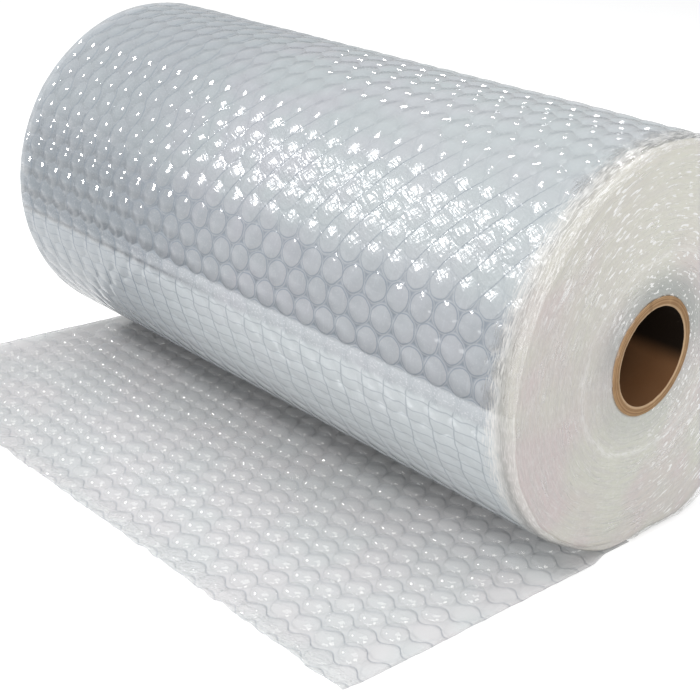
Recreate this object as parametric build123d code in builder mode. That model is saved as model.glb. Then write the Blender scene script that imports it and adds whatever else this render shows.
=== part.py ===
"""Bubble wrap roll, lying on its side with the free end of the web laid out flat in front.

Two pieces: a spiral-wound kraft tube, and one continuous web of bubble film wound on it.
Frame: X runs along the roll's axis, the free end points towards -Y, Z is up and the floor is Z = 0.
All sizes are in millimetres.
"""

import math
import os

from build123d import *

# Kraft core tube
core_bore = 38.0  # inside diameter, made for a one-and-a-half inch spindle
core_wall = 3.8  # thickness of the wound paper
core_setback = 1.0  # how far each end of the tube sits inside the web's edge

# Web of bubble film
web_width = 305.0  # edge to edge, along the roll's axis
film_thickness = 0.6  # flat film and the flange of the formed film, as one sheet
bubble_height = 3.4  # of an inflated bubble, above the film
bubble_diameter = 10.0
bubble_shoulder = 2.4  # rounding between a bubble's wall and its flat top
bubble_pitch = 11.2  # centre to centre, equal in all three directions of the pattern
side_margin = 4.0  # film left bare along each side of the web
end_margin = 2.0  # film left bare along the cut across the free end

# Winding
roll_radius = 80.0  # outside of the last turn
rest_flat = 16.0  # width of the flat that the roll's weight presses into its underside
winding_gap = 0.0  # the first turn is wound tight on the tube
free_length = 146.0  # of web laid out flat, from below the roll's axis to the cut

# Worked out from the sizes above
core_radius = core_bore / 2 + core_wall
core_length = web_width - 2 * core_setback
turn_thickness = film_thickness + bubble_height
bubble_radius = bubble_diameter / 2
row_spacing = bubble_pitch * math.sqrt(3) / 2
axis_y = (free_length - roll_radius) / 2  # puts the whole outline's middle at Y = 0
axis_z = math.sqrt(roll_radius**2 - (rest_flat / 2) ** 2)
cut_y = axis_y - free_length

# The last turn is drawn as two half circles. The back one reaches the floor, and the front one
# is half a turn's thickness smaller, so that it comes down on top of the web laid out below it.
front_radius = roll_radius - turn_thickness / 2
front_centre_z = axis_z + turn_thickness / 2
nip_reach = math.sqrt(front_radius**2 - (front_centre_z - turn_thickness) ** 2)
nip_y = axis_y - nip_reach  # where the front of the roll meets the bubble tops
rest_angle = math.degrees(math.asin(rest_flat / 2 / roll_radius))
nip_angle = math.degrees(math.asin(nip_reach / front_radius))

os.makedirs("parts", exist_ok=True)


def bubble_centres():
    """Centres of the bubbles that stand free in front of the roll, row by row from the cut."""
    first_y = cut_y + end_margin + bubble_radius
    last_y = nip_y - bubble_radius
    rows = int((last_y - first_y) / row_spacing) + 1
    half_run = web_width / 2 - side_margin - bubble_radius
    centres = []
    for row in range(rows):
        shift = bubble_pitch / 2 if row % 2 else 0.0
        reach = int((half_run - shift) / bubble_pitch)
        start = -reach - 1 if row % 2 else -reach
        for column in range(start, reach + 1):
            x = column * bubble_pitch + shift
            centres.append((x, first_y + row * row_spacing))
    return centres


# Kraft core tube: one plain tube, cut square at both ends
with BuildPart() as core_tube:
    with BuildSketch(Plane.YZ.offset(-core_length / 2)):
        with Locations((axis_y, axis_z)):
            Circle(core_radius)
            Circle(core_bore / 2, mode=Mode.SUBTRACT)
    extrude(amount=core_length)
core_tube.part.label = "core_tube"
export_step(core_tube.part, "parts/core_tube.step")

# One bubble: a low drum with a rounded shoulder, standing on the film
with BuildPart() as bubble:
    with BuildSketch(Plane.XZ) as bubble_section:
        with BuildLine():
            foot = Line((0, film_thickness / 2), (bubble_radius, film_thickness / 2))
            wall_top = turn_thickness - bubble_shoulder
            wall = Line(foot @ 1, (bubble_radius, wall_top))
            shoulder = CenterArc(
                (bubble_radius - bubble_shoulder, wall_top), bubble_shoulder, 0, 90
            )
            crown = Line(shoulder @ 1, (0, turn_thickness))
            Line(crown @ 1, foot @ 0)
        make_face()
    revolve(axis=Axis.Z)

# The web: the wound turns as one solid, and the free end with its bubbles facing up
with BuildPart() as bubble_web:
    with BuildSketch(Plane.YZ.offset(-web_width / 2)):
        with BuildLine():
            floor_line = Line((cut_y, 0), (axis_y + rest_flat / 2, 0))
            back_of_roll = CenterArc(
                (axis_y, axis_z), roll_radius, rest_angle - 90, 180 - rest_angle
            )
            front_of_roll = CenterArc(
                (axis_y, front_centre_z), front_radius, 90, 180 - nip_angle
            )
            nip = Line(front_of_roll @ 1, (nip_y, film_thickness))
            film_top = Line(nip @ 1, (cut_y, film_thickness))
            Line(film_top @ 1, floor_line @ 0)
        make_face()
        with Locations((axis_y, axis_z)):
            Circle(core_radius + winding_gap, mode=Mode.SUBTRACT)
    extrude(amount=web_width)
    with Locations(*bubble_centres()):
        add(bubble.part)
bubble_web.part.label = "bubble_web"
export_step(bubble_web.part, "parts/bubble_web.step")
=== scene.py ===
# %% [markdown]
# # A roll of bubble wrap
#
# The real thing is one long web of two thin plastic films, welded together with rows of air
# bubbles between them, wound on a brown paper tube. It lies on its side. The free end comes off
# the bottom of the roll and lies flat in front, with its bubbles up, so the smooth film is the
# one that faces outwards on the roll, and the bubbles are seen through it.
#
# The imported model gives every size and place. This script adds what that model can't show:
# the quilted outer film, each bubble, the frayed-looking ends of the turns and the paper.

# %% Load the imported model
import math
import random

import bmesh
import bpy
from mathutils import Matrix, Vector, noise


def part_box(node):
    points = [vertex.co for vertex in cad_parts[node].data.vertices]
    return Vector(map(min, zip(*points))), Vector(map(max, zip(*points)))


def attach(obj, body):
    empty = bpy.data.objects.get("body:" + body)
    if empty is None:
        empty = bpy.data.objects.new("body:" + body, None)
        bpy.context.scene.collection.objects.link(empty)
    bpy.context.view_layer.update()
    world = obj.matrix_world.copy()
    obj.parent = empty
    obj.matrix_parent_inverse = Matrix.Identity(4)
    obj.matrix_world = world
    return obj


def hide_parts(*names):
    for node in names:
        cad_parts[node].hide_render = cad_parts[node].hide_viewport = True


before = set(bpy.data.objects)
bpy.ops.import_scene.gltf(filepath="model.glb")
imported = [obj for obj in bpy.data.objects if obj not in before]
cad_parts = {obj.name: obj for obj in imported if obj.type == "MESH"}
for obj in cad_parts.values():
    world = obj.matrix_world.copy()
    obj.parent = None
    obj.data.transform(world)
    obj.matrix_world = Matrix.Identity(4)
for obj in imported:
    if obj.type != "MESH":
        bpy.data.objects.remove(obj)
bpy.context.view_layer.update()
random.seed(12)
print("nodes:", sorted(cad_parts))

# %% [markdown]
# ## Sizes
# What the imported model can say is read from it: where the tube's axis is, how large the roll is
# and where the free end was cut. Only small sizes, such as those of one bubble and of one turn,
# are repeated here.

# %% Sizes, in metres
MM = 0.001
web_low, web_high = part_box("bubble_web")
tube_low, tube_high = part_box("core_tube")
axis_y = (tube_low.y + tube_high.y) / 2
axis_z = (tube_low.z + tube_high.z) / 2
tube_radius = (tube_high.z - tube_low.z) / 2
roll_radius = web_high.y - axis_y
half_width = web_high.x
cut_y = web_low.y

bubble_radius = 5.0 * MM
bubble_pitch = 11.2 * MM
row_spacing = bubble_pitch * math.sqrt(3) / 2
turn_thickness = 4.0 * MM
tube_wall = 3.8 * MM
rest_flat = 16.0 * MM
end_margin = 2.0 * MM
side_margin = 4.0 * MM
print(f"roll radius {roll_radius:.4f}, axis at y {axis_y:.4f} z {axis_z:.4f}")

# %% [markdown]
# ## One path for the whole web
# The web is easiest to think of as a flat strip. `u` runs across it, `v` runs along it from the
# cut end, and `w` is the height above the smooth film, on the side of the bubbles. One function
# lays that strip in place: flat in front, then up the back of the roll, over the top and down
# the front. Everything that belongs to the web is made flat and then sent through it. The roll
# is soft, so low at the back of its near end it bulges under its own weight.

# %% Lay the strip
rest_angle = math.asin(rest_flat / 2 / roll_radius)
front_radius = roll_radius - turn_thickness / 2
front_z = axis_z + turn_thickness / 2
nip_reach = math.sqrt(front_radius**2 - (front_z - turn_thickness) ** 2)
nip_angle = math.asin(nip_reach / front_radius)
back_start = axis_y + rest_flat / 2 - cut_y
front_start = back_start + roll_radius * (math.pi - rest_angle)
web_end = front_start + front_radius * (math.pi - nip_angle)
free_run = axis_y - nip_reach - cut_y


def part_way(value, start, end):
    """0 up to start, 1 from end on, in a straight line between them. It falls if end < start."""
    return min(1.0, max(0.0, (value - start) / (end - start)))


def rise(value, start, end):
    """The same, but smooth where it starts and stops."""
    share = part_way(value, start, end)
    return share * share * (3 - 2 * share)


sag_depth = 10.0 * MM
sag_along = (-50.0 * MM, 150.0 * MM)
sag_bottom, sag_top = (-1.42, -0.95), (0.45, -0.65)


def sag(u, angle):
    """How far the roll bulges at a place along it, at an angle in radians from +Y to +Z."""
    angle = math.remainder(angle, math.tau)
    return sag_depth * rise(u, *sag_along) * rise(angle, *sag_bottom) * rise(angle, *sag_top)


def lay(u, v, w):
    """Place of a point of the web, given across it, along it and above its smooth film."""
    if v < back_start:
        return Vector((u, cut_y + v, w))
    if v < front_start:
        angle = rest_angle - math.pi / 2 + (v - back_start) / roll_radius
        reach, middle_z = roll_radius - w + sag(u, angle), axis_z
    else:
        angle = math.pi / 2 + (v - front_start) / front_radius
        reach, middle_z = front_radius - w, front_z
    return Vector((u, axis_y + reach * math.cos(angle), middle_z + reach * math.sin(angle)))


print(f"web from the cut to the nip: {web_end:.3f} m, lying free: {free_run:.3f} m")

# %% [markdown]
# ## The bubble pattern
# Bubbles sit in rows across the web, each row half a pitch to the side of the last one, so every
# bubble has six neighbours at the same distance.

# %% Rows of bubbles
first_row = end_margin + bubble_radius
half_run = half_width - side_margin - bubble_radius


def row_shift(row):
    """How far a row's bubbles sit to the side of the first row's."""
    return bubble_pitch / 2 if row % 2 else 0.0


def row_of_bubbles(row):
    """Positions across the web of the bubbles in one row."""
    shift = row_shift(row)
    reach = int((half_run - shift) / bubble_pitch)
    start = -reach - 1 if row % 2 else -reach
    return [column * bubble_pitch + shift for column in range(start, reach + 1)]


def to_nearest_bubble(u, v):
    """Distance from a point of the web to the middle of the nearest bubble."""
    near = bubble_pitch
    below = math.floor((v - first_row) / row_spacing)
    for row in (below, below + 1):
        across = u - row_shift(row)
        across -= bubble_pitch * round(across / bubble_pitch)
        near = min(near, math.hypot(across, v - first_row - row * row_spacing))
    return near


print("bubbles in a row:", len(row_of_bubbles(0)), "and", len(row_of_bubbles(1)))

# %% [markdown]
# ## Camera
# A long lens, a little above the roll and off its near end. It is tipped slightly, so that the
# floor line isn't level.

# %% Camera
camera_azimuth = math.radians(45.3)
camera_elevation = math.radians(22.0)
camera_tip = math.radians(4.4)
camera_place = Vector((0.3974, -0.3627, 0.2564))

backwards = Vector(
    (
        math.sin(camera_azimuth) * math.cos(camera_elevation),
        -math.cos(camera_azimuth) * math.cos(camera_elevation),
        math.sin(camera_elevation),
    )
)
level_right = (-backwards).cross(Vector((0, 0, 1))).normalized()
level_up = level_right.cross(-backwards)
right = level_right * math.cos(camera_tip) + level_up * math.sin(camera_tip)
up = level_up * math.cos(camera_tip) - level_right * math.sin(camera_tip)

camera_data = bpy.data.cameras.new("camera")
camera_data.sensor_width = 36.0
camera_data.lens = 69.9
camera_data.clip_start = 0.01
camera = bpy.data.objects.new("camera", camera_data)
camera.matrix_world = Matrix((right, up, backwards)).transposed().to_4x4()
camera.location = camera_place
bpy.context.scene.collection.objects.link(camera)
bpy.context.scene.camera = camera
print("camera distance to the roll:", round((camera_place - Vector((0, axis_y, axis_z))).length, 3))

# %% [markdown]
# ## A way to write shader maths
# A material is a network of nodes. Adding and linking each one by hand is slow to read, so
# `Wire` wraps the output of a node and understands `+`, `-`, `*` and `/`. Writing `1 - mask`
# adds the Math node and links it. Every other node comes from `Finish.node`, and the few that
# are needed again and again have a short method of their own.


# %% Wire and Finish
class Wire:
    """The output of a node, with arithmetic that adds Math nodes."""

    def __init__(self, finish, socket):
        self.finish = finish
        self.socket = socket

    def _math(self, operation, *values):
        inputs = dict(enumerate(values))
        return self.finish.node("ShaderNodeMath", {"operation": operation}, inputs)

    def __add__(self, other):
        return self._math("ADD", self, other)

    __radd__ = __add__

    def __sub__(self, other):
        return self._math("SUBTRACT", self, other)

    def __rsub__(self, other):
        return self._math("SUBTRACT", other, self)

    def __mul__(self, other):
        return self._math("MULTIPLY", self, other)

    __rmul__ = __mul__

    def __truediv__(self, other):
        return self._math("DIVIDE", self, other)

    def __pow__(self, other):
        return self._math("POWER", self, other)

    def least(self, other):
        return self._math("MINIMUM", self, other)

    def most(self, other):
        return self._math("MAXIMUM", self, other)

    def nearest_whole(self):
        return self._math("ROUND", self)

    def sine(self):
        return self._math("SINE", self)

    def cosine(self):
        return self._math("COSINE", self)

    def angle_towards(self, other):
        """Angle of the point (other, self) round the origin, in radians."""
        return self._math("ARCTAN2", self, other)

    def wave(self, radians_per_unit):
        return (self * radians_per_unit).cosine()

    def line(self, reach):
        """1 where the value is a whole number, falling to 0 at a reach on both sides."""
        return (self - self.nearest_whole()).size().ramp(reach, 0.0)

    def size(self):
        return self._math("ABSOLUTE", self)

    def ramp(self, start, end):
        """0 below start, 1 above end, smooth between them. It falls if end is below start."""
        low, high = min(start, end), max(start, end)
        below, above = (0.0, 1.0) if start < end else (1.0, 0.0)
        inputs = {0: self, 1: low, 2: high, 3: below, 4: above}
        return self.finish.node("ShaderNodeMapRange", {"interpolation_type": "SMOOTHSTEP"}, inputs)


class Finish:
    """A material or world whose nodes are added one call at a time."""

    def __init__(self, block):
        self.block = block
        block.use_nodes = True
        self.tree = block.node_tree
        self.tree.nodes.clear()

    def node(self, kind, settings=None, inputs=None, output=0):
        """A new node. A tuple of outputs gives a Wire for each of them."""
        made = self.tree.nodes.new(kind)
        for name, value in (settings or {}).items():
            setattr(made, name, value)
        for name, value in (inputs or {}).items():
            if isinstance(value, Wire):
                self.tree.links.new(value.socket, made.inputs[name])
            else:
                made.inputs[name].default_value = value
        if isinstance(output, tuple):
            return [Wire(self, made.outputs[name]) for name in output]
        return Wire(self, made.outputs[output]) if made.outputs else made

    def mix(self, amount, a, b):
        """Colour a where amount is 0, colour b where it is 1."""
        a, b = (shade if isinstance(shade, Wire) else (*shade, 1.0) for shade in (a, b))
        return self.node("ShaderNodeMix", {"data_type": "RGBA"}, {0: amount, 6: a, 7: b}, 2)

    def object_place(self):
        return self.node("ShaderNodeTexCoord", output="Object")

    def parts(self, vector):
        """The x, y and z of a vector."""
        return self.node("ShaderNodeSeparateXYZ", None, {0: vector}, ("X", "Y", "Z"))

    def noise(self, place, scale, detail=2.0, distortion=0.0):
        inputs = {"Vector": place, "Scale": scale, "Detail": detail, "Distortion": distortion}
        return self.node("ShaderNodeTexNoise", None, inputs)

    def stretch(self, place, factors):
        """The same place, measured with a different unit along each axis."""
        return self.node("ShaderNodeVectorMath", {"operation": "MULTIPLY"}, {0: place, 1: factors})

    def bump(self, height, depth, strength=1.0):
        """A Normal for a height, where a height of 1 stands for the depth in metres."""
        inputs = {"Strength": strength, "Distance": depth, "Height": height}
        return self.node("ShaderNodeBump", None, inputs)

    def plastic(self, inputs):
        """The Principled shader, which also does for paper when its gloss is low."""
        return self.node("ShaderNodeBsdfPrincipled", None, inputs)

    def surface(self, shader):
        self.node("ShaderNodeOutputMaterial", None, {"Surface": shader})
        return self.block


def grey(value, warmth=0.0):
    """A pale colour: positive warmth leans to cream, negative to blue."""
    return (value * (1 + warmth), value, value * (1 - warmth), 1.0)


print("shader helpers ready")

# %% [markdown]
# ## Floor, backdrop and light
# The floor and backdrop are plain white. They stay white without extra light on the roll because
# rays from the camera, and those that glossy film sends back, see a floor that also glows a
# little. The lamps' own light still falls on the floor, so the soft shadow stays.


# %% Floor and world
def seen_directly(finish):
    """1 for rays from the camera and those that pass through, half for mirrored ones, else 0."""
    names = ("Is Camera Ray", "Is Glossy Ray", "Is Transmission Ray")
    camera_ray, glossy, through = finish.node("ShaderNodeLightPath", output=names)
    return camera_ray.most(glossy * 0.5).most(through)


floor_size = 6.0
floor_drop = 0.2 * MM
floor_finish = Finish(bpy.data.materials.new("white floor"))
floor_colour = floor_finish.node("ShaderNodeBsdfDiffuse", None, {"Color": grey(0.74)})
glow = {"Color": grey(1.0), "Strength": seen_directly(floor_finish) * 0.60}
floor_glow = floor_finish.node("ShaderNodeEmission", None, glow)
floor_both = floor_finish.node("ShaderNodeAddShader", None, {0: floor_colour, 1: floor_glow})
floor_finish.surface(floor_both)

floor_shape = bmesh.new()
bmesh.ops.create_grid(floor_shape, x_segments=1, y_segments=1, size=floor_size)
bmesh.ops.translate(floor_shape, verts=floor_shape.verts, vec=(0, 0, -floor_drop))
floor_mesh = bpy.data.meshes.new("floor")
floor_shape.to_mesh(floor_mesh)
floor_shape.free()
floor_mesh.materials.append(floor_finish.block)
floor = bpy.data.objects.new("floor", floor_mesh)
bpy.context.scene.collection.objects.link(floor)

world = bpy.data.worlds.new("studio")
bpy.context.scene.world = world
world_finish = Finish(world)
room_light = {"Color": grey(0.42, -0.01), "Strength": 1.0}
white_light = {"Color": grey(1.0), "Strength": 1.0}
room = world_finish.node("ShaderNodeBackground", None, room_light)
white = world_finish.node("ShaderNodeBackground", None, white_light)
both = {0: seen_directly(world_finish), 1: room, 2: white}
chosen = world_finish.node("ShaderNodeMixShader", None, both)
world_finish.node("ShaderNodeOutputWorld", None, {"Surface": chosen})
print("floor and world ready")

# %% [markdown]
# A small key lamp stands off the roll's far end. Film is so glossy that it shows the lamp itself,
# once in each bubble, so the lamp's size sets the size of the sparks. The large fills are dim and
# only lift the shaded sides. A second small lamp behind the roll puts sparks on the free bubbles.


# %% Lamps
def lamp(name, place, aim, width, height, watts, colour=(1.0, 1.0, 1.0)):
    """A rectangular lamp at a place, turned to face the point it aims at."""
    light = bpy.data.lights.new(name, "AREA")
    light.shape = "RECTANGLE"
    light.size = width
    light.size_y = height
    light.energy = watts
    light.color = colour
    made = bpy.data.objects.new(name, light)
    made.location = place
    made.rotation_euler = (Vector(place) - Vector(aim)).to_track_quat("Z", "Y").to_euler()
    bpy.context.scene.collection.objects.link(made)


roll_middle = (0.0, axis_y, axis_z)
warm = (1.0, 0.975, 0.94)
lamp("key", (-0.80, -0.64, 0.84), (0.0, -0.03, 0.12), 0.18, 0.18, 8.0)
lamp("top fill", (0.45, -0.05, 1.30), roll_middle, 0.90, 0.90, 4.5)
lamp("front fill", (0.55, -1.25, 0.16), (0.0, axis_y, 0.05), 0.90, 0.30, 3.2)
lamp("end fill", (1.30, -0.55, 0.60), (0.15, axis_y, axis_z), 0.60, 0.60, 4.6, warm)
lamp("back spark", (-0.35, 0.55, 1.00), (0.05, -0.08, 0.0), 0.12, 0.12, 2.5)

# %% [markdown]
# ## Finish of the clear film
# Polyethylene film is clear and glossy. What is seen of it is its gloss, the grey where it is
# steep to the eye, the thin dark line of the weld round each bubble, and the fine creases that
# winding pulls into it. The lines follow the bubble pattern, so the film carries a UV map that
# counts bubbles across and rows along, and the material finds the nearest bubble from it.


# %% Pattern of the welds, in bubble pitches
def nearest_weld(finish, across, along):
    """Distance from the nearest bubble's middle, in pitches, anywhere on the pattern."""
    squeeze = row_spacing / bubble_pitch
    distances = []
    for shift, row in ((0.0, 0.0), (0.5, 1.0)):
        side = across - shift
        side = side - side.nearest_whole()
        ahead = along - row
        ahead = (ahead - (ahead * 0.5).nearest_whole() * 2.0) * squeeze
        distances.append((side * side + ahead * ahead) ** 0.5)
    return distances[0].least(distances[1])


weld_radius = bubble_radius / bubble_pitch  # in pitches, as all distances on the pattern are


def pattern_place(finish):
    """The pattern's UV, and its two parts: pitches across and rows along."""
    pattern = finish.node("ShaderNodeUVMap", {"uv_map": "pattern"})
    across, along, _ = finish.parts(pattern)
    return pattern, across, along


def ring_round(distance, rise_from, top, fall_to):
    """1 on a ring at the top distance, falling to 0 on both sides of it."""
    return distance.ramp(rise_from, top) * distance.ramp(fall_to, top)


def glossy_film(finish, colour, alpha, roughness, height):
    """A film's surface. Its height is in millimetres."""
    inputs = {"Base Color": colour, "Alpha": alpha, "Roughness": roughness}
    inputs.update({"IOR": 1.55, "Specular IOR Level": 0.65, "Normal": finish.bump(height, MM)})
    return finish.surface(finish.plastic(inputs))


# %% [markdown]
# Wound film doesn't look the same all the way round. Over the top and at the far end it is
# smooth, and only faint wavy lines run round it. Half way down the front it is pulled into
# diamonds and wrinkled. Below those the bubbles are pressed against it and show their outlines.
# Then comes a narrow plain strip, and low down, where the roll's weight squeezes the bubbles
# together, their outlines join into a grid. The margin at the near end is pale and frayed.
#
# Each of these is a mask that rises over a range of angles or places, and the ranges come first.
# In the height, one low dome for each bubble gives one spark for each bubble.

# %% Where the wound film changes
# radians down the front from the top of the roll
diamonds_begin, diamonds_end = (0.45, 0.80), (1.40, 1.15)
wrinkles_begin, wrinkles_end = (0.55, 0.85), (1.42, 1.10)
outlines_begin = (1.12, 1.32)
strip_begin = (1.640, 1.665)
grid_begin = (1.725, 1.765)

# pitches across the web from its middle, and the near end is where they are highest
far_range = (1.0, -8.0)
near_range = (0.0, 9.0)
fringe_range = (12.4, 13.1)
bare_range = (12.8, 13.3)
far_margin_range = (-12.6, -12.9)

dome_reach = 0.57  # in pitches
print("ranges of the wound film ready")


# %% Film of the wound turn
def outer_film_finish():
    finish = Finish(bpy.data.materials.new("outer film"))
    pattern, across, along = pattern_place(finish)
    down = (along * row_spacing + (first_row - front_start)) / front_radius
    far_part = across.ramp(*far_range)
    near_part = across.ramp(*near_range)
    sway = finish.noise(pattern, 0.35, 1.0) - 0.5
    swaying = down + sway * 0.02
    low = swaying.ramp(*grid_begin)
    strip = swaying.ramp(*strip_begin) * (1 - low) * (1 - far_part * 0.8)
    pressed = down.ramp(*outlines_begin) * (1 - low) * (1 - strip * 0.75) * across.ramp(-9.0, -3.0)
    pulled = across.ramp(-8.0, -1.0) * down.ramp(*diamonds_begin) * down.ramp(*diamonds_end)
    wrinkled = across.ramp(-7.0, 3.0) * down.ramp(*wrinkles_begin) * down.ramp(*wrinkles_end)
    hair = finish.noise(finish.stretch(pattern, (22.0, 2.4, 1.0)), 1.0, 3.0)
    margin = (across + (hair - 0.5) * 1.8).ramp(*fringe_range)
    far_margin = across.ramp(*far_margin_range)

    wander = finish.noise(pattern, 1.7, 1.0) - 0.5
    distance = nearest_weld(finish, across, along)
    uneven = distance + wander * 0.15
    crest = weld_radius + 0.01
    ring = ring_round(uneven, weld_radius - 0.03, crest, weld_radius + 0.06)
    joints = uneven.ramp(crest, weld_radius + 0.12)
    outlines = ring * (0.03 + pressed * 0.75 + pulled * 0.12)
    outlines = outlines.most(joints * pressed * 0.80)
    # Painted shade: thin dark lines along the diamond creases, on both slants.
    crossing = (across + along * 0.5 + sway * 0.4 + 0.5).line(0.045)
    other_way = (across - along * 0.5 + sway * 0.4 + 0.5).line(0.030)
    crossing = crossing.most(other_way * 0.35) * pulled * sway.ramp(-0.30, 0.0) * 0.75
    waver = along.wave(math.pi) * (0.13 - low * 0.10)
    round_lines = (across - 0.25 - waver + wander * 0.2).line(0.055)
    round_lines = round_lines * (0.10 + far_part * 0.55 + low * 0.50)
    bars = (along * 2.0 + across.wave(math.tau) * 0.07 + wander * 0.3).line(0.10) * low * 0.50
    dark = outlines.most(crossing).most(round_lines).most(bars) * (1 - margin)

    patchy = finish.noise(pattern, 0.45, 2.0)
    body = finish.mix(patchy.ramp(0.4, 0.65), (0.575, 0.625, 0.645), (0.600, 0.615, 0.655))
    # Painted light: towards the near end the colour is painted lighter.
    body = finish.mix(near_part * 0.55, body, (0.68, 0.73, 0.745))
    body = finish.mix(pressed * 0.55, body, (0.50, 0.51, 0.56))
    mottle = finish.noise(pattern, 0.8, 1.0).ramp(0.42, 0.62)
    body = finish.mix(mottle * pressed * 0.35, body, (0.44, 0.47, 0.50))
    body = finish.mix(strip * 0.5, body, (0.53, 0.555, 0.59))
    # Painted light: low down the colour is painted lighter, for the white floor lighting and
    # mirrored in it.
    body = finish.mix(low * 0.80, body, (0.655, 0.695, 0.715))
    # Painted shade: towards the far end the colour is painted darker, and darker still low down and
    # at its margin.
    body = finish.mix(far_part * 0.85, body, (0.385, 0.42, 0.45))
    far_low = far_part * down.ramp(1.0, 1.35) * (1 - low)
    body = finish.mix(far_low * 0.5, body, (0.24, 0.27, 0.305))
    body = finish.mix(far_margin * 0.4, body, (0.42, 0.45, 0.48))
    # Painted sparkle: pale specks, strongest on the plain strip, stand for glints.
    grain = finish.noise(pattern, 11.0, 2.0)
    painted_sparkle = grain.ramp(0.54, 0.66) * (0.12 + strip * 0.45)
    body = finish.mix(painted_sparkle, body, (0.82, 0.83, 0.86))
    # Dark welds, joins and grid lines, and the painted shade along the creases, darken the colour
    # here.
    body = finish.mix(dark, body, (0.22, 0.26, 0.31))
    frayed = hair.ramp(0.46, 0.64) * (0.35 + down.ramp(1.5, 0.9) * 0.65)
    fringe = finish.mix(frayed, (0.86, 0.85, 0.82), (0.98, 0.975, 0.96))
    colour = finish.mix(margin, body, fringe)
    streaks = finish.noise(finish.stretch(pattern, (9.0, 0.9, 1.0)), 1.0, 3.0)
    alpha = 0.70 + dark * 0.20 + streaks.ramp(0.55, 0.8) * 0.08 + low * 0.25
    alpha = alpha + far_part * 0.15 + strip * 0.20 + far_margin * 0.1
    bare = across.ramp(*bare_range)
    alpha = (alpha - bare * (0.46 - frayed * 0.40)).least(1.0)

    # heights are in millimetres
    dome = (1 - (distance / dome_reach) ** 2.0).most(0.0)
    firm = 1.25 + far_part * 0.10 - pulled * 0.35 - wrinkled * 0.70 - low * 0.95 - strip * 0.9
    firm = firm.most(0.1) * (1 - margin)
    row_ridge = along.wave(math.tau) * (0.05 + pulled * 0.07 + far_low * 0.55) * (1 - low)
    lean = {"Vector": pattern, "Rotation": (0.0, 0.0, 0.55), "Scale": (0.42, 0.14, 1.0)}
    creased = finish.node("ShaderNodeMapping", {"vector_type": "TEXTURE"}, lean)
    lean = {"Vector": pattern, "Rotation": (0.0, 0.0, -0.95), "Scale": (0.40, 0.17, 1.0)}
    crossed = finish.node("ShaderNodeMapping", {"vector_type": "TEXTURE"}, lean)
    wrinkles = finish.noise(creased, 1.0, 1.0, 0.3) + finish.noise(crossed, 1.0, 1.0, 0.3) * 0.7
    height = dome * firm + row_ridge + wrinkles * (0.02 + wrinkled * 0.32 + low * 0.03)
    height = height + grain * strip * 0.06 + hair * margin * 0.3 - crossing * 0.10
    rough = 0.05 + patchy * 0.03 + wrinkled * 0.17 + strip * 0.1
    return glossy_film(finish, colour, alpha, rough, height)


# %% [markdown]
# Lying flat and unwound, the same film is nearly even. A thin dark wavy line is painted across it
# between each two rows of bubbles, as painted shade at the foot of the row. Its colour is painted
# darker towards the roll and towards the far end, as painted shade where the roll shelters it.


# %% Film of the free end
def free_film_finish():
    finish = Finish(bpy.data.materials.new("free film"))
    pattern, across, along = pattern_place(finish)
    wander = finish.noise(pattern, 1.7, 1.0) - 0.5
    distance = nearest_weld(finish, across, along) + wander * 0.05
    ring = ring_round(distance, weld_radius - 0.03, weld_radius, weld_radius + 0.04)
    # Painted shade: a thin dark wavy line at the foot of each row.
    bend = across.wave(math.tau) * 0.17
    after_even = ((along - 0.42 - bend + wander * 0.1) * 0.5).line(0.024)
    after_odd = ((along - 1.42 + bend + wander * 0.1) * 0.5).line(0.024)
    dark = (ring * 0.22).most(after_even.most(after_odd) * 0.65)
    patchy = finish.noise(pattern, 0.30, 2.0)
    body = finish.mix(patchy.ramp(0.4, 0.6), (0.79, 0.78, 0.79), (0.75, 0.775, 0.78))
    colour = finish.mix(dark, body, (0.20, 0.23, 0.29))
    crumpled = along.ramp(0.8, -0.3)
    # Painted shade: darker towards the roll and towards the far end.
    painted_shade = along.ramp(1.0, 13.0) * (0.25 + across.ramp(13.0, 3.0) * 0.75)
    painted_shade = painted_shade.most(across.ramp(2.0, -13.0) * 0.50)
    colour = finish.mix(painted_shade * 0.62, colour, (0.50, 0.49, 0.485))
    alpha = 0.43 + dark * 0.42 - crumpled * 0.05 + painted_shade * 0.25
    fine = finish.noise(finish.stretch(pattern, (5.0, 5.0, 1.0)), 1.0, 2.0, 0.8)
    height = fine * (0.10 + crumpled * 1.1)
    return glossy_film(finish, colour, alpha, 0.10 + patchy * 0.05, height)


outer_film = outer_film_finish()
free_film = free_film_finish()
print("film finishes:", outer_film.name, "and", free_film.name)

# %% [markdown]
# The bubbles themselves are thinner film, blown into a mould. They have no pattern, only a slight
# cloudiness and small dents, so they read Object coordinates. A free bubble is almost clear, and
# yet a lamp in it is as bright as in any other gloss, so its gloss is mixed in over the body.


# %% Finish of the bubbles
most_gloss = 0.14


def bubble_skin(name, body, middle_alpha, edge_alpha, roughness, gloss):
    """Clear in the middle and denser at its edge, with a share of gloss over it."""
    finish = Finish(bpy.data.materials.new(name))
    place = finish.object_place()
    cloud = finish.noise(place, 160.0, 2.0)
    red, green, blue = body
    colour = finish.mix(cloud.ramp(0.35, 0.7), body, (red * 0.96, green * 0.98, blue))
    edge = finish.node("ShaderNodeLayerWeight", None, {"Blend": 0.4}, "Facing")
    alpha = middle_alpha + edge**1.5 * (edge_alpha - middle_alpha)
    bump = finish.bump(finish.noise(place, 420.0, 2.0, 0.6), 0.45 * MM, 0.3)
    inputs = {"Base Color": colour, "Roughness": 0.5, "Alpha": alpha, "Specular IOR Level": 0.0}
    skin = finish.plastic(inputs)
    inputs = {"Color": grey(1.0), "Roughness": roughness, "Normal": bump}
    shine = finish.node("ShaderNodeBsdfAnisotropic", None, inputs)
    fresnel = finish.node("ShaderNodeFresnel", None, {"IOR": 1.5, "Normal": bump})
    share = (fresnel * gloss).least(most_gloss)
    return finish.surface(finish.node("ShaderNodeMixShader", None, {0: share, 1: skin, 2: shine}))


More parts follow.
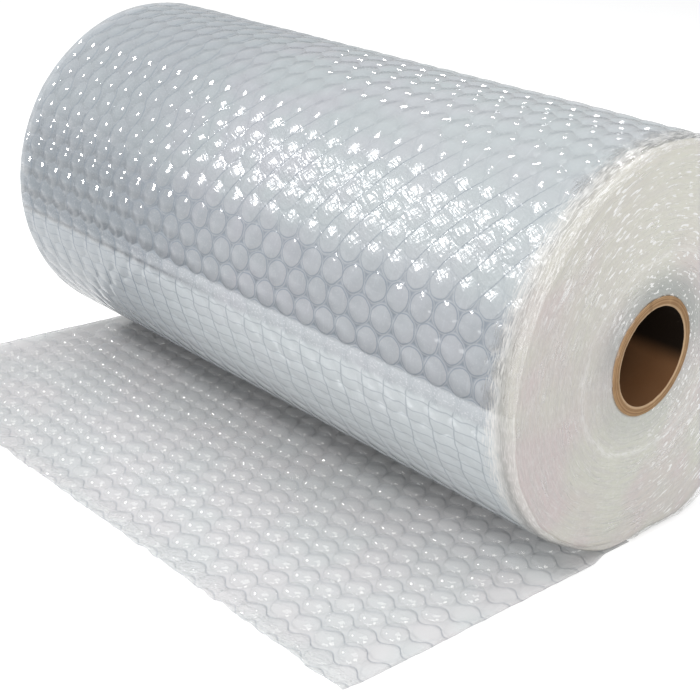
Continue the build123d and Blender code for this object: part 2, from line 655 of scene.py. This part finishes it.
clear = {"middle_alpha": 0.06, "edge_alpha": 0.09, "roughness": 0.06, "gloss": 1.2}
cloudy = {"middle_alpha": 0.35, "edge_alpha": 0.80, "roughness": 0.50, "gloss": 0.2}
free_bubble_finish = bubble_skin("free bubble skin", (0.93, 0.93, 0.94), **clear)
wound_bubble_finish = bubble_skin("wound bubble skin", (0.54, 0.56, 0.59), **cloudy)
print("bubble finishes:", free_bubble_finish.name, "and", wound_bubble_finish.name)

# %% [markdown]
# Under the outer turn lie a dozen more. Light bounces between their films until nothing can be
# seen through, which looks like a pale grey-blue body. Its own bubbles show faintly, out of step
# with the ones above. Around the axis the pattern is laid by angle, turned so that the join of
# the angle is underneath.


# %% Finish of the turns below, from the side and from the ends
def round_the_axis(finish):
    """Object place as (x, angle in radians from the top, distance from the axis)."""
    x, y, z = finish.parts(finish.object_place())
    side, height = y - axis_y, z - axis_z
    distance = (side * side + height * height) ** 0.5
    return x, side.angle_towards(height), distance


def inner_turns_finish():
    finish = Finish(bpy.data.materials.new("turns below"))
    x, angle, _ = round_the_axis(finish)
    across = x / bubble_pitch + 0.27
    along = angle * ((roll_radius - turn_thickness) / row_spacing) + 0.4
    distance = nearest_weld(finish, across, along)
    ring = ring_round(distance, weld_radius - 0.07, weld_radius, weld_radius + 0.08)
    cloud = finish.noise(finish.object_place(), 14.0, 3.0)
    pale = finish.mix(cloud.ramp(0.35, 0.65), (0.56, 0.60, 0.63), (0.64, 0.665, 0.68))
    colour = finish.mix(ring * 0.55, pale, (0.34, 0.38, 0.42))
    return finish.surface(finish.plastic({"Base Color": colour, "Roughness": 0.45, "IOR": 1.4}))


# A painted highlight runs round the edge of one turn at this radius.
highlight_ring_radius = tube_radius + 17.0 * MM  # of one turn whose edge looks brighter at the ends


def end_turns_finish():
    finish = Finish(bpy.data.materials.new("ends of the turns"))
    x, angle, distance = round_the_axis(finish)
    # past the rim, distance along the roll carries on from distance from the axis
    outward = (distance - x.size()) * 90.0
    around_ring = {"X": angle.sine(), "Y": angle.cosine(), "Z": outward}
    ring_place = finish.node("ShaderNodeCombineXYZ", None, around_ring)
    strands = finish.noise(finish.stretch(ring_place, (4.0, 4.0, 7.0)), 1.0, 3.0, 0.5)
    hairs = finish.noise(finish.stretch(ring_place, (12.0, 12.0, 24.0)), 1.0, 3.0, 0.4)
    dashes = finish.noise(finish.stretch(ring_place, (12.0, 12.0, 9.5)), 1.0, 1.0, 0.3)
    place = finish.object_place()
    blush = finish.noise(place, 24.0, 2.0)
    grain = finish.noise(place, 700.0, 2.0)
    cream = finish.mix(blush.ramp(0.40, 0.60), (0.68, 0.60, 0.595), (0.68, 0.685, 0.605))
    shaded = finish.mix(strands.ramp(0.62, 0.30) * 0.55, cream, (0.60, 0.585, 0.57))
    speckled = finish.mix(grain.ramp(0.5, 0.7) * 0.35, shaded, (0.80, 0.79, 0.78))
    bright = finish.mix(hairs.ramp(0.55, 0.72) * 0.6, speckled, (0.84, 0.83, 0.80))
    near_tube = distance.ramp(tube_radius + 16 * MM, tube_radius + 2 * MM)
    above_tube = near_tube * (0.35 + angle.size().ramp(1.9, 1.1) * 0.55)
    greyer = finish.mix(above_tube, bright, (0.40, 0.425, 0.41))
    # Painted highlight: a pale ring along the edge of one turn.
    painted_highlight_ring = (distance - highlight_ring_radius + (blush - 0.5) * (12 * MM)).size().ramp(1.8 * MM, 0.0)
    with_highlight_ring = finish.mix(painted_highlight_ring * hairs.ramp(0.35, 0.6) * 0.7, greyer, (0.90, 0.90, 0.88))
    # Painted shade darkens the front of each end, and painted light lightens its top, away from the
    # tube.
    low_front = (angle + 2.2).wave(1.0)
    front = (angle + 1.4).wave(1.0).ramp(0.1, 1.0)
    toned = finish.mix(front * 0.30, with_highlight_ring, (0.48, 0.43, 0.42))
    high = angle.size().ramp(1.5, 0.2) * (1 - near_tube)
    toned = finish.mix(high * 0.30, toned, (0.86, 0.84, 0.76))
    # Painted glints: short white dashes, fewer low at the front.
    glints = dashes.ramp(0.62, 0.66) * (1 - low_front.ramp(0.1, 0.7) * 0.9)
    colour = finish.mix(glints, toned, (0.98, 0.98, 0.97))
    bump = finish.bump(strands * 0.5 + hairs * 0.3 + glints * 0.4, 0.3 * MM, 0.35)
    inputs = {"Base Color": colour, "Roughness": 0.22 + hairs * 0.25, "Normal": bump, "IOR": 1.5}
    return finish.surface(finish.plastic(inputs))


inner_finish = inner_turns_finish()
end_finish = end_turns_finish()
print("turn finishes:", inner_finish.name, "and", end_finish.name)

# %% [markdown]
# Single film edges stand out at the ends of the roll. They are nearly clear, with milky patches,
# and small dents make them glint. One even alpha would look like glass, so it varies.


# %% Finish of the film edges
def edge_film_finish():
    finish = Finish(bpy.data.materials.new("film edges"))
    place = finish.object_place()
    patches = finish.noise(place, 90.0, 2.0)
    colour = finish.mix(patches.ramp(0.4, 0.6), (0.92, 0.91, 0.88), (0.90, 0.91, 0.91))
    alpha = 0.06 + patches.ramp(0.45, 0.7) * 0.28
    bump = finish.bump(finish.noise(place, 500.0, 2.0, 0.5), 0.3 * MM, 0.5)
    inputs = {"Base Color": colour, "Roughness": 0.12 + patches * 0.1, "Alpha": alpha}
    inputs.update({"Normal": bump, "IOR": 1.5})
    return finish.surface(finish.plastic(inputs))


edge_finish = edge_film_finish()
print("edge finish:", edge_finish.name)

# %% [markdown]
# ## Finish of the paper tube
# Kraft board is wound from strips of brown paper. The cut end shows the plies as fine rings, and
# the inside shows the slanted joins of the innermost strip.


# %% Kraft paper
def kraft_finish():
    finish = Finish(bpy.data.materials.new("kraft paper"))
    x, angle, distance = round_the_axis(finish)
    place = finish.object_place()
    depth = (distance - (tube_radius - tube_wall)) / tube_wall
    layers = {"W": depth * 5.0 + angle * 0.03, "Scale": 1.6, "Detail": 2.0}
    plies = finish.node("ShaderNodeTexNoise", {"noise_dimensions": "1D"}, layers)
    fibres = finish.noise(finish.stretch(place, (900.0, 240.0, 240.0)), 1.0, 3.0)
    blotches = finish.noise(place, 60.0, 3.0)
    brown = finish.mix(plies.ramp(0.35, 0.65), (0.29, 0.17, 0.085), (0.49, 0.315, 0.18))
    brown = finish.mix(depth.ramp(0.32, 0.12) * 0.75, brown, (0.62, 0.45, 0.29))
    speck = finish.mix(fibres.ramp(0.5, 0.75) * 0.35, brown, (0.58, 0.40, 0.22))
    colour = finish.mix(blotches.ramp(0.45, 0.8) * 0.30, speck, (0.20, 0.11, 0.05))
    lead = tube_radius * 2 * 1.9  # how far along the tube one turn of the paper strip takes it
    join = (x / lead + angle / math.tau + 0.3).line(0.012)
    colour = finish.mix(join * 0.35, colour, (0.10, 0.055, 0.025))
    # Painted shade: the bore is painted dark brown, and nearly black in its upper half and further
    # in.
    inside = depth.ramp(0.05, 0.01)
    colour = finish.mix(inside * 0.92, colour, (0.115, 0.044, 0.013))
    upper = angle.size().ramp(2.05, 1.60)
    deep = x.size().ramp(tube_high.x - 12 * MM, tube_high.x - 45 * MM)
    colour = finish.mix(inside * upper.most(deep) * 0.97, colour, (0.004, 0.003, 0.002))
    bump = finish.bump(fibres + plies - join, 0.2 * MM, 0.4)
    inputs = {"Base Color": colour, "Roughness": 0.85, "Specular IOR Level": 0.08, "Normal": bump}
    return finish.surface(finish.plastic(inputs))


kraft = kraft_finish()
print("paper finish:", kraft.name)

# %% [markdown]
# ## Making a piece
# Each piece starts as a bmesh and ends as an object that rides on the roll, stands for a node of
# the imported model and wears the finishes it is given.


# %% From bmesh to piece
def make_piece(name, shape, finishes, node):
    mesh = bpy.data.meshes.new(name)
    shape.to_mesh(mesh)
    shape.free()
    for finish in finishes:
        mesh.materials.append(finish)
    mesh.shade_smooth()
    piece = bpy.data.objects.new(name, mesh)
    bpy.context.scene.collection.objects.link(piece)
    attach(piece, "root")
    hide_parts(node)
    triangles = sum(len(face.vertices) - 2 for face in mesh.polygons)
    print(f"{name}: {triangles} triangles")
    return piece


def spun_round_the_axis(profile, steps):
    """A closed profile of (x, distance from the axis), spun once round the roll's axis."""
    shape = bmesh.new()
    corners = [shape.verts.new((x, axis_y + d, axis_z)) for x, d in profile]
    sides = [shape.edges.new(pair) for pair in zip(corners, corners[1:] + corners[:1])]
    bmesh.ops.spin(
        shape,
        geom=corners + sides,
        cent=(0, axis_y, axis_z),
        axis=(1, 0, 0),
        dvec=(0, 0, 0),
        angle=math.tau,
        steps=steps,
        use_merge=True,
    )
    return shape


def strip_grid(v_start, v_stop, step):
    """A flat grid over a stretch of the web, as wide as the web, with its pattern as UVs."""
    shape = bmesh.new()
    columns = round(2 * half_width / step)
    rows = round((v_stop - v_start) / step)
    bmesh.ops.create_grid(shape, x_segments=columns, y_segments=rows, size=0.5)
    bmesh.ops.scale(shape, verts=shape.verts, vec=(2 * half_width, v_stop - v_start, 1))
    bmesh.ops.translate(shape, verts=shape.verts, vec=(0, (v_start + v_stop) / 2, 0))
    pattern = shape.loops.layers.uv.new("pattern")
    for face in shape.faces:
        for loop in face.loops:
            u, v, _ = loop.vert.co
            loop[pattern].uv = (u / bubble_pitch, (v - first_row) / row_spacing)
    return shape


def ripple(x, y, seed, reach):
    """Smooth random height from -1 to 1 that changes over about the given distance."""
    return noise.noise(Vector((x / reach, y / reach, seed)))


print("piece helpers ready")

# %% [markdown]
# ## Outer film of the roll
# The air in each bubble pushes the smooth film out a little over its mouth, and the film is
# pulled in along the lines between the bubbles. That quilting has real height, and it is what
# breaks a lamp into one spark for each bubble. Low on the roll the film is squeezed nearly flat.
# Past the last bubbles the bare margin has nothing behind it, so it curls in over the end of the
# roll and flutes.

# %% Outer film
film_step = 1.36 * MM
film_inset = 0.35 * MM
bulge = 0.45 * MM
bulge_reach = 0.53 * bubble_pitch
pull_depth = 0.22 * MM
groove_width = 0.09  # in pitches
slack_depth = 0.25 * MM
squeeze_begin = (1.60, 1.72)  # radians down the front
tuck_depth = 0.8 * MM
curl_width = {1: 6.0 * MM, -1: 2.5 * MM}  # at the near end and at the far end
curl_depth = {1: 2.2 * MM, -1: 0.7 * MM}


def slant_groove(u, v):
    """1 on the straight lines between the bubbles on both slants, 0 away from them."""
    across, along = u / bubble_pitch, (v - first_row) / row_spacing
    deepest = 0.0
    for slant in (across - along / 2, across + along / 2):
        off = abs(slant - round(slant))
        deepest = max(deepest, math.exp(-(((0.5 - off) / groove_width) ** 2)))
    return deepest


outer = strip_grid(back_start, web_end, film_step)
for vertex in outer.verts:
    u, v, _ = vertex.co
    near = to_nearest_bubble(u, v) / bulge_reach
    firm = 0.8 + 0.35 * ripple(u, v, 3.1, 14 * MM)
    down = (v - front_start) / front_radius
    squeezed = part_way(down, *squeeze_begin)
    push = bulge * firm * max(0.0, 1 - near * near) * (1 - 0.75 * squeezed)
    if abs(u) > half_run + bubble_radius:
        push = 0.0
    tight = max(0.0, 0.3 + ripple(u, v, 9.4, 60 * MM) + u / half_width * 0.5)
    pull = pull_depth * slant_groove(u, v) * tight * (1 - squeezed)
    slack = slack_depth * ripple(u, v, 5.7, 26 * MM)
    side = 1 if u > 0 else -1
    curl = part_way(half_width - abs(u), curl_width[side], 0.0)
    flute = 0.25 * curl_depth[side] * ripple(v, u, 11.0, 9 * MM) * curl
    w = film_inset - push + pull - slack + curl_depth[side] * curl**2.2 + flute
    tuck = tuck_depth * curl**2 * (1 + ripple(v, 0.0, 4.0, 12 * MM))
    vertex.co = lay(u - math.copysign(tuck, u), v, w)
bmesh.ops.reverse_faces(outer, faces=outer.faces)
make_piece("outer_film", outer, [outer_film], "bubble_web")

# %% [markdown]
# ## Bubbles behind the outer film
# Seen from outside, each bubble is a small cup: a mouth at the film, a steep wall and a flat
# bottom with a rounded corner. One cup is made by extruding a circle in steps, and copies of it
# are set on the pattern while the web is still flat.


# %% One bubble, and a strip of them
def bubble_cup(sides, rings):
    """A bubble standing on z = 0: a circle extruded through rings of (radius, height)."""
    shape = bmesh.new()
    bmesh.ops.create_circle(shape, cap_ends=False, segments=sides, radius=rings[0][0])
    bmesh.ops.translate(shape, verts=shape.verts, vec=(0, 0, rings[0][1]))
    loop = list(shape.edges)
    for (old_radius, old_height), (radius, height) in zip(rings, rings[1:]):
        grown = bmesh.ops.extrude_edge_only(shape, edges=loop)["geom"]
        raised = [part for part in grown if isinstance(part, bmesh.types.BMVert)]
        loop = [part for part in grown if isinstance(part, bmesh.types.BMEdge)]
        loop = [edge for edge in loop if all(end in raised for end in edge.verts)]
        factor = radius / old_radius
        bmesh.ops.scale(shape, verts=raised, vec=(factor, factor, 1))
        bmesh.ops.translate(shape, verts=raised, vec=(0, 0, height - old_height))
    bmesh.ops.contextual_create(shape, geom=loop)
    bmesh.ops.recalc_face_normals(shape, faces=shape.faces)
    mesh = bpy.data.meshes.new("one bubble")
    shape.to_mesh(mesh)
    shape.free()
    return mesh


def set_bubbles(cup, places):
    """Copies of a bubble at (u, v, size, height, shear) on the flat strip."""
    shape = bmesh.new()
    for u, v, size, height, shear in places:
        start = len(shape.verts)
        shape.from_mesh(cup)
        shape.verts.ensure_lookup_table()
        copy = shape.verts[start:]
        turn = random.uniform(0, math.tau)
        bmesh.ops.rotate(shape, verts=copy, cent=(0, 0, 0), matrix=Matrix.Rotation(turn, 3, "Z"))
        bmesh.ops.scale(shape, verts=copy, vec=(size, size, height))
        for vertex in copy:
            vertex.co.x += shear[0] * vertex.co.z
            vertex.co.y += shear[1] * vertex.co.z
        bmesh.ops.translate(shape, verts=copy, vec=(u, v, 0))
    return shape


wound_rings = [
    (4.95 * MM, 0.6 * MM),
    (4.75 * MM, 2.2 * MM),
    (4.2 * MM, 3.3 * MM),
    (2.9 * MM, 3.9 * MM),
]
wound_cup = bubble_cup(sides=12, rings=wound_rings)
places = []
wound_first_row = math.ceil((back_start - first_row) / row_spacing)
wound_last_row = int((web_end - first_row) / row_spacing)
for row in range(wound_first_row, wound_last_row + 1):
    for u in row_of_bubbles(row):
        shear = (random.uniform(-0.12, 0.12), random.uniform(-0.12, 0.12))
        size = random.uniform(0.96, 1.03)
        places.append((u, first_row + row * row_spacing, size, 1.0, shear))
wound = set_bubbles(wound_cup, places)
for vertex in wound.verts:
    vertex.co = lay(*vertex.co)
make_piece("wound_bubbles", wound, [wound_bubble_finish], "bubble_web")
print(len(places), "bubbles behind the outer film")

# %% [markdown]
# ## The turns below
# The rest of the winding is one closed body. A profile through its wall, from the tube out and
# back, is spun round the axis. The roll isn't quite round, because it comes down on its own free
# end, so each point is then moved out or in to stay one turn below the outer film. At the ends
# every turn stands a little further in or out than the next, in soft ridges.

# %% Turns below
body_gap = turn_thickness + 0.25 * MM
end_setback = 1.6 * MM
face_rings = 62
side_rings = 60
steps_around = 360
body_reach = roll_radius - body_gap
corner = 3.0 * MM
flare_range = (143.0 * MM, 148.0 * MM)  # where the body swells to meet the film, near each end
flare_gap = 1.2 * MM
shift_fade = (0.0, 0.5)  # radians from the bottom of the roll
near_face_depth = 13.0 * MM  # how far in from each end it wears the finish of the ends
far_face_depth = 3.0 * MM


def outline_reach(angle):
    """Distance from the axis to the film's outside, at an angle from +Y towards +Z."""
    if -math.pi / 2 <= angle <= math.pi / 2:
        return roll_radius
    lift = front_z - axis_z
    along = lift * math.sin(angle)
    return along + math.sqrt(front_radius**2 - lift**2 + along**2)


def turn_shift(angle):
    """How far the turns move out from a true circle. It fades out where the free end leaves."""
    from_bottom = abs(math.remainder(angle + math.pi / 2, math.tau))
    inside = outline_reach(math.remainder(angle, math.tau)) - roll_radius
    return inside * rise(from_bottom, *shift_fade)


def end_relief(distance, angle):
    """How far the turns stand out at an end, at a distance from the axis and an angle."""
    ring_x, ring_y = math.cos(angle), math.sin(angle)
    wide = noise.noise(Vector((ring_x * 1.3, ring_y * 1.3, distance / (5.5 * MM))))
    narrow = noise.noise(Vector((ring_x * 3.5, ring_y * 3.5, distance / (1.8 * MM) + 40)))
    return 0.45 * MM * wide + 0.20 * MM * narrow


face = []
for step in range(face_rings + 1):
    share = step / face_rings
    distance = tube_radius + (body_reach - tube_radius) * share
    drop = corner * max(0.0, 1 - (body_reach - distance) / corner) ** 2 * 0.7
    face.append((half_width - end_setback - drop, distance))
rim_x = face[-1][0]
side = [(rim_x * (1 - 2 * step / side_rings), body_reach) for step in range(1, side_rings)]
other_face = [(-x, distance) for x, distance in reversed(face)]
turns = spun_round_the_axis(face + side + other_face, steps_around)
for vertex in turns.verts:
    x, y, z = vertex.co
    angle = math.atan2(z - axis_z, y - axis_y)
    distance = math.hypot(y - axis_y, z - axis_z)
    share = (distance - tube_radius) / (body_reach - tube_radius)
    flare = part_way(abs(x), *flare_range) * (body_gap - flare_gap)
    reach = distance + (turn_shift(angle) + sag(x, angle)) * share**5 + flare * share**3
    if abs(x) > half_width - end_setback - corner - 0.5 * MM and share > 0:
        fade = min(1.0, share * 12)
        # x goes into the relief so that the two ends differ
        x += math.copysign(end_relief(distance + x, angle) * fade, x)
    vertex.co = (x, axis_y + reach * math.cos(angle), axis_z + reach * math.sin(angle))
for patch in turns.faces:
    middle = patch.calc_center_median()
    on_end = middle.x > half_width - near_face_depth or middle.x < far_face_depth - half_width
    patch.material_index = 1 if on_end else 0
bmesh.ops.recalc_face_normals(turns, faces=turns.faces)
make_piece("wound_turns", turns, [inner_finish, end_finish], "bubble_web")

# %% [markdown]
# ## Film edges at the ends
# Each turn brings two film edges to the end of the roll: the smooth one, nearly straight, and
# the one with the bubbles, which wanders in and out between them. They are long ribbons, a few
# millimetres deep, wound in a spiral. They lean and flutter, which is where the glints come from.


# %% Film edges
edge_step = 1.25 * MM
edges_per_turn = 2
spiral_gap = turn_thickness / edges_per_turn
ribbon_in, ribbon_out = 1.6 * MM, 1.9 * MM
rim_drop, rim_width = 3.6 * MM, 8.0 * MM  # towards the rim the ribbons stand out less


def film_edges(side):
    """The ribbons of one end of the roll. side is 1 at the near end and -1 at the far end."""
    start_reach, stop_reach = tube_radius + 0.8 * MM, roll_radius - 2.6 * MM
    lengths, angles = [0.0], [0.0]
    while start_reach + spiral_gap * angles[-1] / math.tau < stop_reach:
        reach = start_reach + spiral_gap * angles[-1] / math.tau
        angles.append(angles[-1] + edge_step / reach)
        lengths.append(lengths[-1] + edge_step)
    shape = bmesh.new()
    bmesh.ops.create_grid(shape, x_segments=len(angles) - 1, y_segments=3, size=0.5)
    for vertex in shape.verts:
        along = (vertex.co.x + 0.5) * lengths[-1]
        depth = vertex.co.y + 0.5
        index = min(len(angles) - 1, round(along / edge_step))
        angle = angles[index]
        wavy = int(angle / math.tau) % 2
        reach = start_reach + spiral_gap * angle / math.tau
        swing = noise.noise(Vector((along / (5.0 * MM), side * 3.0, 0.5)))
        lean = noise.noise(Vector((along / (11.0 * MM), side * 7.0, 2.5)))
        fray = noise.noise(Vector((along / (3.4 * MM), side * 5.0, 6.5)))
        reach += (0.95 if wavy else 0.35) * MM * swing + 1.5 * MM * lean * depth
        share = (reach - tube_radius) / (roll_radius - tube_radius)
        reach += (turn_shift(angle) + sag(side * half_width, angle)) * share**5
        x = half_width - end_setback - ribbon_in
        x += depth * (ribbon_in + ribbon_out * (0.35 + 0.65 * fray * fray * 2))
        from_rim = roll_radius - reach
        x -= rim_drop * max(0.0, 1 - from_rim / rim_width) ** 2
        vertex.co = (side * x, axis_y + reach * math.cos(angle), axis_z + reach * math.sin(angle))
    return shape


for side, name in ((1, "film_edges_right"), (-1, "film_edges_left")):
    make_piece(name, film_edges(side), [edge_finish], "bubble_web")

# %% [markdown]
# ## Free end
# The last part of the web lies on the floor. Its film is almost flat, with a slight wave, and it
# is crumpled where it was torn off. A Solidify modifier gives the sheet its thickness.

# %% Film of the free end
sheet_step = 1.5 * MM
sheet_thickness = 0.25 * MM
torn_reach = 9.0 * MM
nip_reach_back = 10.0 * MM  # over which it settles and narrows on its way under the roll
nip_narrowing = 0.02
sheet = strip_grid(0.0, back_start, sheet_step)
for vertex in sheet.verts:
    u, v, _ = vertex.co
    near = to_nearest_bubble(u, v) / bubble_radius
    bare = abs(u) > half_run + bubble_radius
    lift = 0.35 * MM + 0.25 * MM * (1 + ripple(u, v, 2.0, 30 * MM))
    if near > 1 and not bare:
        lift += 0.15 * MM * min(1.0, near - 1)
    lift += (0.35 * MM if bare else 0.1 * MM) * (1 + ripple(u, v, 6.0, 7 * MM))
    torn = part_way(v, torn_reach, 0.0)
    lift += torn * 1.3 * MM * (1 + ripple(u, v, 12.0, 5 * MM))
    under_roll = part_way(v, free_run - nip_reach_back, free_run)
    lift = lift * (1 - under_roll) + 0.2 * MM * under_roll
    wobble = torn * 1.2 * MM * ripple(u, 0.0, 14.0, 11 * MM)
    vertex.co = lay(u * (1 - nip_narrowing * under_roll), v + wobble + torn * 0.6 * MM, lift)
free_end = make_piece("free_end_film", sheet, [free_film], "bubble_web")
solid = free_end.modifiers.new("thickness", "SOLIDIFY")
solid.thickness = sheet_thickness
solid.offset = -1.0

# %% [markdown]
# ## Bubbles of the free end
# These stand up in the open, so they are seen best. No two are equally full. The ones at the cut
# have been opened or squashed, and lie low and creased.

# %% Free bubbles
free_rings = [
    (5.05 * MM, 0.2 * MM),
    (4.95 * MM, 1.1 * MM),
    (4.65 * MM, 2.0 * MM),
    (4.0 * MM, 2.8 * MM),
    (2.9 * MM, 3.4 * MM),
    (1.5 * MM, 3.7 * MM),
]
free_cup = bubble_cup(sides=14, rings=free_rings)
crushed_reach = 20.0 * MM
places = []
row = 0
while first_row + row * row_spacing < free_run - 2 * MM:
    for u in row_of_bubbles(row):
        fullness = random.uniform(0.86, 1.03)
        if row == 0:
            fullness = random.uniform(0.35, 0.75)
        elif row == 1 and random.random() < 0.4:
            fullness = random.uniform(0.6, 0.9)
        shear = (random.uniform(-0.15, 0.15), random.uniform(-0.15, 0.15))
        size = random.uniform(0.97, 1.03)
        places.append((u, first_row + row * row_spacing, size, fullness, shear))
    row += 1
free = set_bubbles(free_cup, places)
for vertex in free.verts:
    u, v, w = vertex.co
    crushed = part_way(v, crushed_reach, 0.0)
    amount = (0.05 + crushed) * MM * min(1.0, w / (1.5 * MM))
    w = max(0.3 * MM, w + amount * ripple(u, v, 21.0, 2.6 * MM))
    u += 0.5 * amount * ripple(u, v, 23.0, 2.2 * MM)
    vertex.co = lay(u, v, w + 0.2 * MM)
make_piece("free_bubbles", free, [free_bubble_finish], "bubble_web")
print(len(places), "bubbles on the free end")

# %% [markdown]
# ## Paper tube
# A short profile of the wall, with its cut corners slightly rounded, is spun round the axis. Its
# ends aren't perfectly square, by a fraction of a millimetre.

# %% Paper tube
bore_radius = tube_radius - tube_wall
soft = 0.35 * MM
tube_steps = 144
wear = 0.22 * MM
end_x = tube_high.x
wall = []
for side in (1, -1):
    corner_points = [
        (end_x - soft, bore_radius),
        (end_x, bore_radius + soft),
        (end_x, bore_radius + tube_wall / 2),
        (end_x, tube_radius - soft),
        (end_x - soft, tube_radius),
    ]
    wall += [(side * x, d) for x, d in corner_points[::side]]
tube = spun_round_the_axis(wall, tube_steps)
bmesh.ops.recalc_face_normals(tube, faces=tube.faces)
for vertex in tube.verts:
    x, y, z = vertex.co
    worn = wear * noise.noise(Vector((y * 260, z * 260, 1.0)))
    vertex.co.x = x - math.copysign(abs(worn), x)
make_piece("paper_tube", tube, [kraft], "core_tube")

# %% [markdown]
# ## Finish
# The colour view is set to Standard, and a ray may pass through up to 32 clear surfaces.

# %% Finish
bpy.context.scene.view_settings.view_transform = "Standard"
bpy.context.scene.cycles.transparent_max_bounces = 32
bpy.context.view_layer.update()
